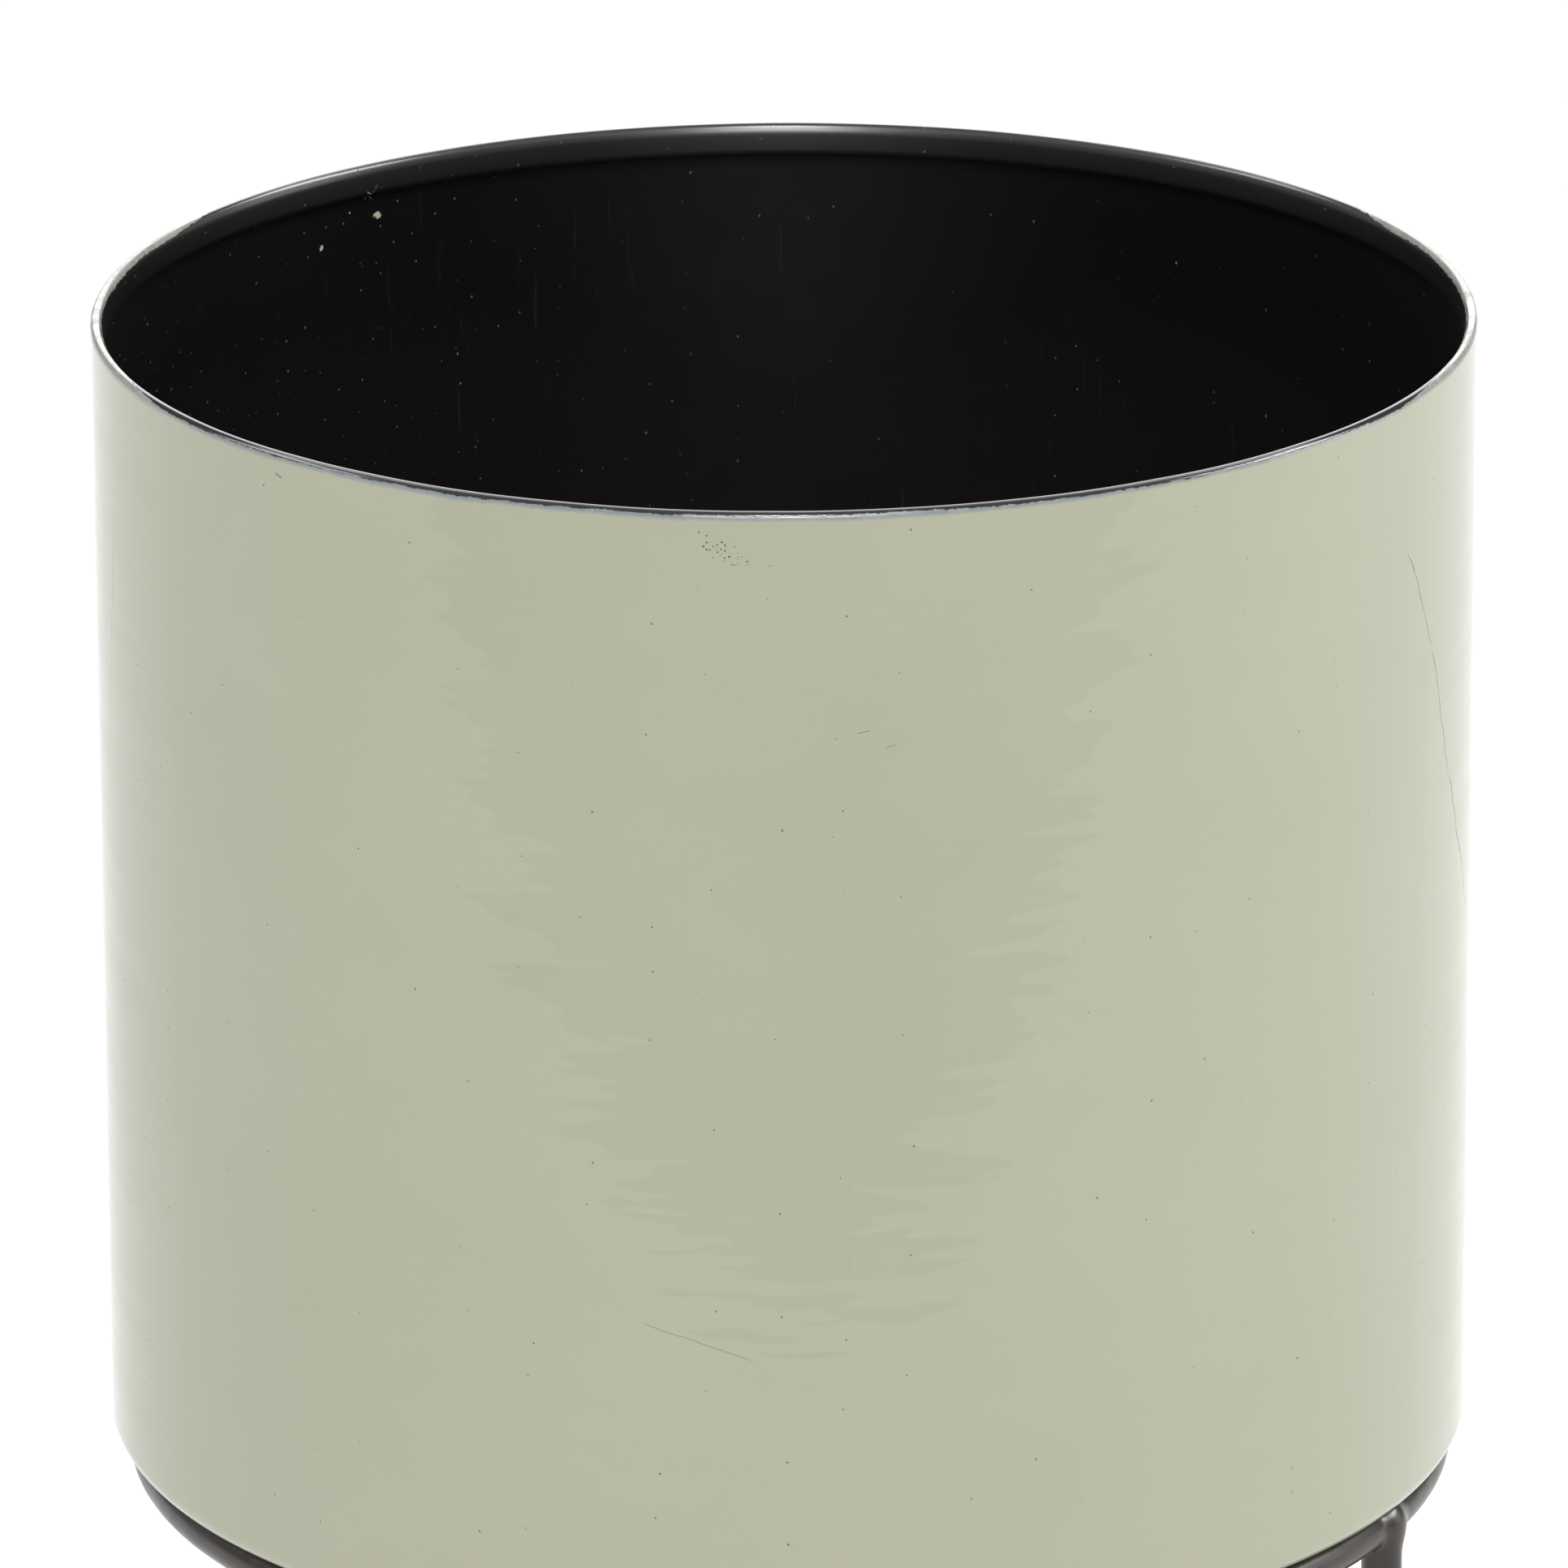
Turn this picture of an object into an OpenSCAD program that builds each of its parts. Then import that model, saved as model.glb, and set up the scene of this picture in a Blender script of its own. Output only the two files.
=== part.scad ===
// Enamelled sheet-steel plant pot that rests on a three-legged round-rod stand.
// Millimetres, +Z up. The origin lies on the floor under the pot's axis, and -Y is the front.

/* [Pot] */
// Outside diameter of the pot's straight wall
pot_d = 270; // [200:1:340]
// Height of the pot from its underside to the top of the rim
pot_h = 228; // [120:1:320]
// Thickness of the enamelled sheet
sheet = 1.2; // [0.8:0.1:2]
// Outside radius of the corner between the wall and the base
corner_r = 4.5; // [3:0.5:16]
// Height of the rim, where the wall's edge is folded inwards and pressed flat
hem_h = 6.5; // [4:0.25:12]
// Enamel that closes the fold between its two layers of sheet
fold_fill = 0.1; // [0.05:0.05:0.5]

/* [Stand] */
// Diameter of the rod of the ring and the legs
rod_d = 8; // [6:0.5:10]
// Height of the ring's top above the floor
stand_h = 175; // [90:1:400]
// How far the ring's centre line lies inside the edge of the pot's flat base
ring_inset = 2.75; // [0.25:0.25:10]
// How far each leg's axis lies outside the ring's centre line
leg_offset = 1.25; // [0:0.25:3]
// Direction of the first leg, counted from the front towards the right
leg_direction = 64; // [50:0.5:75]
// Angle between the two front legs; the third leg stands midway behind them
front_gap = 112; // [100:0.5:130]
// How far the stand sits to the right of the pot's axis
stand_shift = 0.35; // [0:0.05:1.5]
// Space left between the ring's top and the pot's underside
seat_gap = 0.3; // [0.1:0.1:0.5]

/* [Welds] */
// How far the weld bead under the ring stands out from the leg
bead_reach = 2; // [1:0.25:3]
// How far the ring's own seam bead stands out from the rod
seam_reach = 0.5; // [0.3:0.1:1]
// Length of the ring's seam bead along the rod
seam_length = 4; // [3:0.5:8]
// Space left between a bead and the rods that it joins
bead_gap = 0.05; // [0.02:0.01:0.1]

/* [Foot caps] */
// Height of each foot cap
cap_h = 14; // [10:0.5:25]
// Wall thickness of each foot cap
cap_wall = 1.4; // [1:0.1:2.5]
// Thickness of the cap's sole under the leg's end
cap_sole = 3; // [2:0.5:5]
// Space left between the leg and the cap's bore
cap_gap = 0.05; // [0.02:0.01:0.1]
// Rounding of the cap's outer edges
cap_edge = 0.8; // [0.4:0.1:1]

/* [Hidden] */
$fn = 96;

FULL_TURN = 360;
FRONT = -90;
ENAMEL = [0.73, 0.73, 0.64];
BLACK_STEEL = [0.09, 0.09, 0.10];
BLACK_RUBBER = [0.05, 0.05, 0.05];

pot_r = pot_d / 2;
hem_w = 2 * sheet + fold_fill;
fold_r = hem_w / 2;
lip_r = sheet / 2;
rod_r = rod_d / 2;
pot_z = stand_h + seat_gap;
ring_r = pot_r - corner_r - ring_inset;
ring_z = stand_h - rod_r;
leg_circle_r = ring_r + leg_offset;
leg_end_z = cap_sole + cap_gap;
cap_r = rod_r + cap_gap + cap_wall;
back_gap = (FULL_TURN - front_gap) / 2;
leg_turns = [leg_direction, leg_direction + back_gap, leg_direction - front_gap];
// The seam lies midway between the first leg and the one at the back.
seam_direction = leg_direction + back_gap / 2;
seam_angle = seam_length / ring_r * 180 / PI;
// The ring's end faces are closest to each other on its inner side.
seam_bead_length = seam_length * (ring_r - rod_r - seam_reach) / ring_r;

// Moves its children to leg number k, with local +X pointing away from the stand's axis.
module at_leg(k) {
    turn = FRONT + leg_turns[k];
    translate([stand_shift, 0, 0])
        rotate([0, 0, turn])
            translate([leg_circle_r, 0, 0])
                children();
}

// Section of the folded rim: round on top, with a soft lower edge inside the pot.
module rim_section() {
    translate([pot_r - fold_r, pot_h - fold_r])
        circle(r = fold_r);
    translate([pot_r - hem_w, pot_h - hem_h + lip_r])
        square([hem_w, hem_h - lip_r - fold_r]);
    translate([pot_r - hem_w + lip_r, pot_h - hem_h])
        square([hem_w - lip_r, hem_h - fold_r]);
    translate([pot_r - hem_w + lip_r, pot_h - hem_h + lip_r])
        circle(r = lip_r);
}

// Section of the rounded corner between the base and the wall.
module corner_section() {
    translate([pot_r - corner_r, corner_r])
        intersection() {
            difference() {
                circle(r = corner_r);
                circle(r = corner_r - sheet);
            }
            translate([0, -corner_r])
                square(corner_r);
        }
}

// Half section of the whole pot, standing on z = 0.
module pot_section() {
    square([pot_r - corner_r, sheet]);
    corner_section();
    translate([pot_r - sheet, corner_r])
        square([sheet, pot_h - fold_r - corner_r]);
    rim_section();
}

module pot_shell() {
    color(ENAMEL)
        translate([0, 0, pot_z])
            rotate_extrude()
                pot_section();
}

// Arc of round bar along the ring's centre line, from angle a through the angle sweep.
module ring_arc(a, sweep, radius) {
    translate([stand_shift, 0, ring_z])
        rotate([0, 0, a])
            rotate_extrude(angle = sweep)
                translate([ring_r, 0])
                    circle(r = radius);
}

module stand_ring() {
    color(BLACK_STEEL)
        ring_arc(FRONT + seam_direction + seam_angle / 2, FULL_TURN - seam_angle, rod_r);
}

// Butt weld that closes the ring: ground flush on top, where the pot sits, and proud below.
module ring_seam_weld() {
    color(BLACK_STEEL)
        translate([stand_shift, 0, ring_z])
            rotate([0, 0, FRONT + seam_direction])
                translate([ring_r, 0, 0])
                    difference() {
                        rotate([90, 0, 0])
                            cylinder(r = rod_r + seam_reach, h = seam_bead_length, center = true);
                        translate([0, 0, rod_r + seam_reach])
                            cube([rod_d * 2, seam_length * 2, 2 * seam_reach], center = true);
                    }
}

// Whole ring bar with a margin, used to cut the weld beads.
module ring_clearance() {
    ring_arc(0, FULL_TURN, rod_r + bead_gap);
}

// Straight groove for the ring in a leg's side. Over a rod's width the ring hardly bends.
module leg_groove() {
    translate([-leg_offset, 0, ring_z])
        rotate([90, 0, 0])
            cylinder(r = rod_r + bead_gap, h = 2 * rod_d, center = true);
}

// A leg laps the outside of the ring, and its upper end is rounded.
module leg(k) {
    color(BLACK_STEEL)
        at_leg(k)
            difference() {
                union() {
                    translate([0, 0, leg_end_z])
                        cylinder(r = rod_r, h = ring_z - leg_end_z);
                    translate([0, 0, ring_z])
                        rotate([90, 0, 180])
                            sphere(r = rod_r);
                }
                leg_groove();
            }
}

// Weld bead around the joint, under the ring and beside the leg.
module leg_weld(k) {
    bead_r = rod_r + bead_reach;
    color(BLACK_STEEL)
        difference() {
            at_leg(k)
                translate([0, 0, ring_z - rod_r])
                    sphere(r = bead_r);
            ring_clearance();
            at_leg(k)
                translate([0, 0, ring_z - rod_r - bead_r])
                    cylinder(r = rod_r + bead_gap, h = 2 * bead_r + rod_r);
        }
}

// Closed cap pushed over the leg's lower end, with rounded outer edges.
module foot_cap(k) {
    color(BLACK_RUBBER)
        at_leg(k)
            rotate_extrude()
                difference() {
                    union() {
                        square([cap_r - cap_edge, cap_h]);
                        translate([0, cap_edge])
                            square([cap_r, cap_h - 2 * cap_edge]);
                        for (z = [cap_edge, cap_h - cap_edge])
                            translate([cap_r - cap_edge, z])
                                circle(r = cap_edge);
                    }
                    translate([-cap_r, cap_sole])
                        square([cap_r + rod_r + cap_gap, cap_h]);
                }
}

pot_shell();
stand_ring();
ring_seam_weld();
leg(0);  // leg_1
leg(1);  // leg_2
leg(2);  // leg_3
leg_weld(0);  // leg_weld_1
leg_weld(1);  // leg_weld_2
leg_weld(2);  // leg_weld_3
foot_cap(0);  // foot_cap_1
foot_cap(1);  // foot_cap_2
foot_cap(2);  // foot_cap_3
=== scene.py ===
"""Looks of an enamelled pot on a three-legged rod stand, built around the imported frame."""

import math

import bpy
import numpy as np
from mathutils import Matrix, Vector, noise


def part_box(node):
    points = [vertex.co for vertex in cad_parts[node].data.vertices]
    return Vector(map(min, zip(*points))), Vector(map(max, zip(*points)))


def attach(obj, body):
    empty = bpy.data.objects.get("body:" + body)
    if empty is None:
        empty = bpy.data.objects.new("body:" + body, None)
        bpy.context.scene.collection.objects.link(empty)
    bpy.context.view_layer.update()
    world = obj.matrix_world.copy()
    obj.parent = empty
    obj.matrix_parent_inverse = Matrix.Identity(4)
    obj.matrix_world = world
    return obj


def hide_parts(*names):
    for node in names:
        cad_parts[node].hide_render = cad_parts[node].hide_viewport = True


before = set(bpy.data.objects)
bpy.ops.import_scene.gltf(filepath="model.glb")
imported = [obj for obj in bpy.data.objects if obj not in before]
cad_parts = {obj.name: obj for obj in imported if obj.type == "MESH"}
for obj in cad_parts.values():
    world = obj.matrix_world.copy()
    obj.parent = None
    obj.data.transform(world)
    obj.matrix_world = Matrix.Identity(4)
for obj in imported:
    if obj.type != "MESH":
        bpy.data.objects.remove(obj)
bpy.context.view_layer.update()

# ---------------------------------------------------------------- sizes, in metres
MM = 0.001
TINY = 1e-9
POT_LOW, POT_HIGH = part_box("pot_shell")
POT_R = (POT_HIGH.x - POT_LOW.x) / 2
POT_BASE = POT_LOW.z
POT_TOP = POT_HIGH.z
SHEET = 1.2 * MM
CORNER_R = 4.5 * MM
HEM_W = 2.5 * MM  # thickness of the folded rim
HEM_H = 6.5 * MM  # how far the fold reaches down the inside
HEM_EASE = 2.4 * MM  # height over which the fold's inner face turns upright
CREST_R = HEM_W / 2
LIP_R = SHEET / 2
SKIN = 0.03 * MM  # the enamelled surface lies this far inside the CAD's wall

RING_LOW, RING_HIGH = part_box("stand_ring")
ROD_R = (RING_HIGH.z - RING_LOW.z) / 2
RING_Z = (RING_HIGH.z + RING_LOW.z) / 2
RING_X = (RING_HIGH.x + RING_LOW.x) / 2
RING_R = (RING_HIGH.x - RING_LOW.x) / 2 - ROD_R

# ---------------------------------------------------------------- small helpers


def middle(node):
    """Centre of a CAD node's box."""
    low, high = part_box(node)
    return (low + high) / 2


def new_mesh(name, vertices, faces, smooth=True):
    """Links a mesh object made from plain lists or arrays."""
    mesh = bpy.data.meshes.new(name)
    mesh.from_pydata([tuple(v) for v in vertices], [], [tuple(f) for f in faces])
    mesh.validate()
    mesh.polygons.foreach_set("use_smooth", [smooth] * len(mesh.polygons))
    obj = bpy.data.objects.new(name, mesh)
    bpy.context.scene.collection.objects.link(obj)
    return obj


def lathe(name, profile, segments, centre=(0, 0), warp=None):
    """Turns a profile of (radius, height) points about a vertical axis, with poles at radius 0."""
    vertices, rings = [], []
    for r, z in profile:
        if r < TINY:
            rings.append([len(vertices)])
            vertices.append((centre[0], centre[1], z))
            continue
        start = len(vertices)
        for s in range(segments):
            a = math.tau * s / segments
            rr, zz = warp(a, r, z) if warp else (r, z)
            vertices.append((centre[0] + rr * math.cos(a), centre[1] + rr * math.sin(a), zz))
        rings.append(list(range(start, start + segments)))
    faces = []
    for low, high in zip(rings, rings[1:]):
        for s in range(segments):
            t = (s + 1) % segments
            if len(low) == 1:
                faces.append((low[0], high[t], high[s]))
            elif len(high) == 1:
                faces.append((low[s], low[t], high[0]))
            else:
                faces.append((low[s], low[t], high[t], high[s]))
    return new_mesh(name, vertices, faces)


def tube(name, points, radius, sides=40, closed=False):
    """Sweeps a round bar along points, with frames that keep +Z as their reference."""
    points = [Vector(p) for p in points]
    count = len(points)
    vertices = []
    for k, point in enumerate(points):
        before = points[(k - 1) % count] if closed or k else points[k]
        after = points[(k + 1) % count] if closed or k < count - 1 else points[k]
        forward = (after - before).normalized()
        reference = Vector((0, 0, 1)) if abs(forward.z) < 0.9 else Vector((1, 0, 0))
        side = forward.cross(reference).normalized()
        up = side.cross(forward)
        for s in range(sides):
            a = math.tau * s / sides
            vertices.append(point + (side * math.cos(a) + up * math.sin(a)) * radius)
    faces = []
    for k in range(count if closed else count - 1):
        here, there = k * sides, ((k + 1) % count) * sides
        for s in range(sides):
            t = (s + 1) % sides
            faces.append((here + s, there + s, there + t, here + t))
    if not closed:
        faces.append(tuple(range(sides)))
        faces.append(tuple(range((count - 1) * sides, count * sides))[::-1])
    return new_mesh(name, vertices, faces)


def smooth_step(value, low, high):
    """0 below low, 1 above high, and smooth between them."""
    t = min(max((value - low) / (high - low), 0.0), 1.0)
    return t * t * (3 - 2 * t)


class Term:
    """One output of a node. Arithmetic on it adds Math nodes to its graph."""

    def __init__(self, graph, socket):
        self.graph, self.socket = graph, socket

    def __add__(self, other):
        return self.graph.math("ADD", self, other)

    def __sub__(self, other):
        return self.graph.math("SUBTRACT", self, other)

    def __rsub__(self, other):
        return self.graph.math("SUBTRACT", other, self)

    def __mul__(self, other):
        return self.graph.math("MULTIPLY", self, other)

    def __truediv__(self, other):
        return self.graph.math("DIVIDE", self, other)

    def __pow__(self, other):
        return self.graph.math("POWER", self, other)

    def __lt__(self, other):
        return self.graph.math("LESS_THAN", self, other)

    def __gt__(self, other):
        return self.graph.math("GREATER_THAN", self, other)

    def __abs__(self):
        return self.graph.math("ABSOLUTE", self)

    def clamped(self):
        """The same value, held between 0 and 1."""
        return self.graph.span(self, 0.0, 1.0)


class Graph:
    """Adds nodes to a tree. Plain values and Terms go in, and Terms come out."""

    def __init__(self, tree):
        self.tree = tree

    def set(self, node, socket, value):
        """Links a Term to a node's input, or sets the input's own value."""
        if isinstance(value, Term):
            self.tree.links.new(value.socket, node.inputs[socket])
        else:
            node.inputs[socket].default_value = value

    def node(self, kind, inputs=None, **settings):
        """A new node, with values for its settings and for its inputs by name or number."""
        node = self.tree.nodes.new(kind)
        for key, value in settings.items():
            setattr(node, key, value)
        for socket, value in (inputs or {}).items():
            self.set(node, socket, value)
        return node

    def term(self, output, kind, inputs=None, **settings):
        """One output of a new node, by name or number."""
        return Term(self, self.node(kind, inputs, **settings).outputs[output])

    def terms(self, kind, inputs=None, **settings):
        """All outputs of a new node."""
        return [Term(self, socket) for socket in self.node(kind, inputs, **settings).outputs]

    def math(self, operation, *values):
        """A Math node."""
        return self.term(0, "ShaderNodeMath", dict(enumerate(values)), operation=operation)

    def largest(self, masks):
        """Largest of several masks."""
        total = masks[0]
        for mask in masks[1:]:
            total = self.math("MAXIMUM", total, mask)
        return total

    def position(self):
        """Place on the object, in metres of the shared frame."""
        return self.term("Object", "ShaderNodeTexCoord")

    def axes(self, vector):
        """The three parts of a vector or colour."""
        return self.terms("ShaderNodeSeparateXYZ", {0: vector})

    def vector(self, x, y, z):
        """A vector of three values."""
        return self.term(0, "ShaderNodeCombineXYZ", {0: x, 1: y, 2: z})

    def attribute(self, name):
        """A number kept at the mesh's vertices."""
        return self.term("Fac", "ShaderNodeAttribute", attribute_name=name)

    def noise(self, vector, scale, detail=2.0, roughness=0.5):
        """Smooth noise from 0 to 1."""
        inputs = {"Vector": vector, "Scale": scale, "Detail": detail, "Roughness": roughness}
        return self.term("Fac", "ShaderNodeTexNoise", inputs)

    def cells(self, vector, scale, dimensions="2D"):
        """Voronoi cells: distance from a cell's point, and the cell's random colour.

        In 2D every cell's point lies on the surface.
        """
        inputs = {"Vector": vector, "Scale": scale}
        return self.terms("ShaderNodeTexVoronoi", inputs, voronoi_dimensions=dimensions)[:2]

    def span(self, value, low, high, out_low=0.0, out_high=1.0):
        """Maps low..high to out_low..out_high, held at both ends."""
        inputs = {0: value, 1: low, 2: high, 3: out_low, 4: out_high}
        return self.term(0, "ShaderNodeMapRange", inputs, clamp=True)

    def mix(self, factor, a, b):
        """Colour a where factor is 0 and b where it is 1."""
        return self.term(2, "ShaderNodeMix", {0: factor, 6: a, 7: b}, data_type="RGBA")

    def bump(self, height, distance, normal=None):
        """Normal of a relief, over another normal if one is given."""
        inputs = {"Height": height, "Distance": distance}
        if normal is not None:
            inputs["Normal"] = normal
        return self.term(0, "ShaderNodeBump", inputs)

    def principled(self, **sockets):
        """Sets inputs of the Principled shader. An underscore stands for a space in a name."""
        shader = self.tree.nodes["Principled BSDF"]
        for name, value in sockets.items():
            self.set(shader, name.replace("_", " "), value)

    def output(self, kind, surface):
        """The tree's output node."""
        self.node(kind, {0: surface})


def new_material(name, empty=False):
    """A node material and its graph, with a Principled shader unless it is to be empty."""
    material = bpy.data.materials.new(name)
    material.use_nodes = True
    if empty:
        material.node_tree.nodes.clear()
    return material, Graph(material.node_tree)


def wear(obj, material):
    """Gives an object its one material."""
    obj.data.materials.append(material)


# ---------------------------------------------------------------- camera

CAMERA_PITCH = math.radians(18.371)
CAMERA_ROLL = math.radians(-0.227)
CAMERA_LENS = 314.9
CAMERA_DISTANCE = 20.0 * POT_R
AIM = Vector((-0.0025 * POT_R, 0, POT_TOP - 0.7235 * POT_R))


def make_camera():
    """A long lens that looks along +Y and down, rolled a little."""
    c, s = math.cos(CAMERA_PITCH), math.sin(CAMERA_PITCH)
    forward = Vector((0, c, -s))
    right = Vector((1, 0, 0))
    up = Vector((0, s, c))
    cr, sr = math.cos(CAMERA_ROLL), math.sin(CAMERA_ROLL)
    right, up = cr * right + sr * up, -sr * right + cr * up
    data = bpy.data.cameras.new("camera")
    data.sensor_width = 36
    data.lens = CAMERA_LENS
    data.clip_end = 100
    camera = bpy.data.objects.new("camera", data)
    turn = Matrix((right, up, -forward)).transposed().to_4x4()
    camera.matrix_world = Matrix.Translation(AIM - forward * CAMERA_DISTANCE) @ turn
    bpy.context.scene.collection.objects.link(camera)
    bpy.context.scene.camera = camera


# ---------------------------------------------------------------- pot

POT_SEGMENTS = 540
WALL_STEP = 2.5 * MM
RUN_LIMIT = 12.0  # the run attribute is held at this many millimetres from the rim's foot
BASE_SHARES = (0, 0.25, 0.5, 0.7, 0.85, 0.93, 0.97, 0.99)  # rings of the flat base
WALL_WAVE = 0.08 * MM
RIM_DROP = 0.15 * MM
RIM_LEAN = 0.15 * MM


def arc(centre_r, centre_z, radius, start, end, steps):
    """Points of a profile arc, angles in radians from +R towards +Z."""
    angles = [start + (end - start) * k / steps for k in range(steps + 1)]
    return [(centre_r + radius * math.cos(a), centre_z + radius * math.sin(a)) for a in angles]


def pot_profile():
    """The shell's outline from under the base, up the outside, over the rim and down the inside.

    Each point is (radius, height, run). Run is the way along the sheet from the foot of the rim's
    outer curve, in millimetres: below 0 on the outside wall, growing over the rim and down inside.
    """
    flat_r = POT_R - CORNER_R
    crest_r, crest_z = POT_R - CREST_R, POT_TOP - CREST_R
    corner_z = POT_BASE + CORNER_R
    rows = int((crest_z - corner_z) / WALL_STEP)
    heights = [corner_z + (crest_z - 3 * MM - corner_z) * k / rows for k in range(1, rows + 1)]
    points = [(flat_r * share, POT_BASE) for share in BASE_SHARES]
    points += arc(flat_r, corner_z, CORNER_R, -math.pi / 2, 0, 12)
    points += [(POT_R, z) for z in heights]
    points += [(POT_R, crest_z - step * MM) for step in (2.0, 1.2, 0.6)]
    foot = len(points)
    points += arc(crest_r, crest_z, CREST_R, 0, math.pi / 2, 14)
    for k in range(1, 17):
        t = math.pi / 2 * k / 16
        points.append((crest_r - CREST_R * math.sin(t), POT_TOP - HEM_EASE * (1 - math.cos(t))))
    hem_r, hem_z = POT_R - HEM_W, POT_TOP - HEM_H
    points += [(hem_r, POT_TOP - HEM_EASE - step * MM) for step in (0.8, 1.8, 2.8)]
    points += arc(hem_r + LIP_R, hem_z + LIP_R, LIP_R, math.pi, 1.5 * math.pi, 8)
    wall_r = POT_R - SHEET
    points += [
        (wall_r - 0.25 * MM, hem_z),
        (wall_r - 0.07 * MM, hem_z - 0.08 * MM),
        (wall_r, hem_z - 0.3 * MM),
    ]
    points += [(wall_r, z) for z in reversed(heights) if z < hem_z - 1 * MM]
    points += arc(flat_r, corner_z, CORNER_R - SHEET, 0, -math.pi / 2, 10)
    points += [(flat_r * share, POT_BASE + SHEET) for share in reversed(BASE_SHARES)]
    run = [0.0] * len(points)
    for k in range(foot + 1, len(points)):
        run[k] = run[k - 1] + math.dist(points[k], points[k - 1]) / MM
    for k in range(foot - 1, -1, -1):
        run[k] = run[k + 1] - math.dist(points[k], points[k + 1]) / MM
    return [(r, z, min(max(s, -RUN_LIMIT), RUN_LIMIT)) for (r, z), s in zip(points, run)]


def pot_warp(angle, r, z):
    """Small unevenness of pressed and enamelled sheet: a wavering rim and a gently uneven wall."""
    near_rim = smooth_step(z, POT_TOP - 40 * MM, POT_TOP - 6 * MM)
    above_base = smooth_step(z, POT_BASE + 2 * MM, POT_BASE + 20 * MM)
    spot = Vector((math.cos(angle) * 2.1, math.sin(angle) * 2.1, z * 9.0))
    wall = WALL_WAVE * noise.noise(spot) * above_base
    rim_spot = Vector((math.cos(angle) * 3.2, math.sin(angle) * 3.2, 4.0))
    drop = RIM_DROP * abs(noise.noise(rim_spot)) * near_rim
    lean = RIM_LEAN * noise.noise(rim_spot + Vector((0, 0, 7.0))) * near_rim
    return r - abs(wall) - abs(lean) - SKIN, z - drop


def black_edge(angle):
    """Run in millimetres at which the inside's black begins, at an angle from the front.

    The black begins latest at the sides, and a little later at the front's right.
    """
    turn = math.degrees(abs(angle))
    # At the sides the grey band runs over the crest, partly as painted reflection of the bright
    # backdrop.
    side = smooth_step(turn, 57, 80) * (1 - smooth_step(turn, 112, 132))
    back = smooth_step(turn, 112, 132)
    right = smooth_step(math.degrees(angle), 1, 8) * (1 - smooth_step(turn, 18, 28))
    edge = 0.60 + 0.15 * right + 2.8 * side - 0.8 * back
    return edge + 0.35 * noise.noise(Vector((math.cos(angle) * 5, math.sin(angle) * 5, 2.0)))


def make_pot():
    """The enamelled shell. Its vertices keep the run and the place of the black's edge."""
    profile = pot_profile()
    pot = lathe("pot_enamel", [(r, z) for r, z, run in profile], POT_SEGMENTS, warp=pot_warp)
    turns = [math.tau * k / POT_SEGMENTS + math.pi / 2 for k in range(POT_SEGMENTS)]
    spread = [black_edge(math.remainder(turn, math.tau)) for turn in turns]
    runs, edges = [], []
    for r, z, run in profile:
        single = r < TINY
        runs += [run] * (1 if single else POT_SEGMENTS)
        edges += [1.0] if single else spread
    for name, values in (("run", runs), ("black_edge", edges)):
        layer = pot.data.attributes.new(name, "FLOAT", "POINT")
        layer.data.foreach_set("value", values)
    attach(pot, "pot")
    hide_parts("pot_shell")
    return pot


# ---------------------------------------------------------------- stand

RING_STEPS = 420
LEG_STEPS = 24
SEAM_STEPS, SEAM_SIDES = 24, 40
SEAM_REACH = 3.2 * MM  # half the bead's length
SEAM_SWELL, SEAM_LUMP = 0.5 * MM, 0.12 * MM
JOINT_SIDE, JOINT_DOWN = 10.5 * MM, 13 * MM  # how far a joint's bead covers its rods
FILLET_FLAT, FILLET_FULL = 1.5 * MM, 4.8 * MM  # its blend's width, from one side to the other
LUMPS, LUMP_R, LUMP_RISE = 9, 1.6 * MM, 0.10 * MM
BEAD_CELL = 0.42 * MM  # grid step of the joints' surface
SURFACE_PULLS = 4  # how often a surface's vertices are pulled onto it
CAP_SIDES = 56
CAP_GAP = 0.05 * MM  # between a leg and its cap's bore
CAP_SOLE = 3.0 * MM
CAP_EDGE = 0.8 * MM
CAP_LIP = 2.4 * MM  # from the mouth down to the ring moulded round it


def leg_frame(name):
    """Axis point of a leg at the ring's height, and the directions outwards and sideways."""
    axis = middle(name)
    axis.z = RING_Z
    outward = Vector((axis.x - RING_X, axis.y, 0)).normalized()
    return axis, outward, Vector((-outward.y, outward.x, 0))


def make_ring():
    """The stand's ring of round rod."""
    angles = [math.tau * k / RING_STEPS for k in range(RING_STEPS)]
    points = [(RING_X + RING_R * math.cos(a), RING_R * math.sin(a), RING_Z) for a in angles]
    ring = tube("ring_rod", points, ROD_R, closed=True)
    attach(ring, "stand")
    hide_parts("stand_ring")
    return ring


def make_leg(name):
    """A straight rod from inside its cap to the ring's height."""
    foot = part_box(name)[0].z
    axis = middle(name)
    heights = [foot + (RING_Z - foot) * k / LEG_STEPS for k in range(LEG_STEPS + 1)]
    leg = tube(name + "_rod", [(axis.x, axis.y, z) for z in heights], ROD_R)
    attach(leg, "stand")
    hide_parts(name)
    return leg


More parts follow.
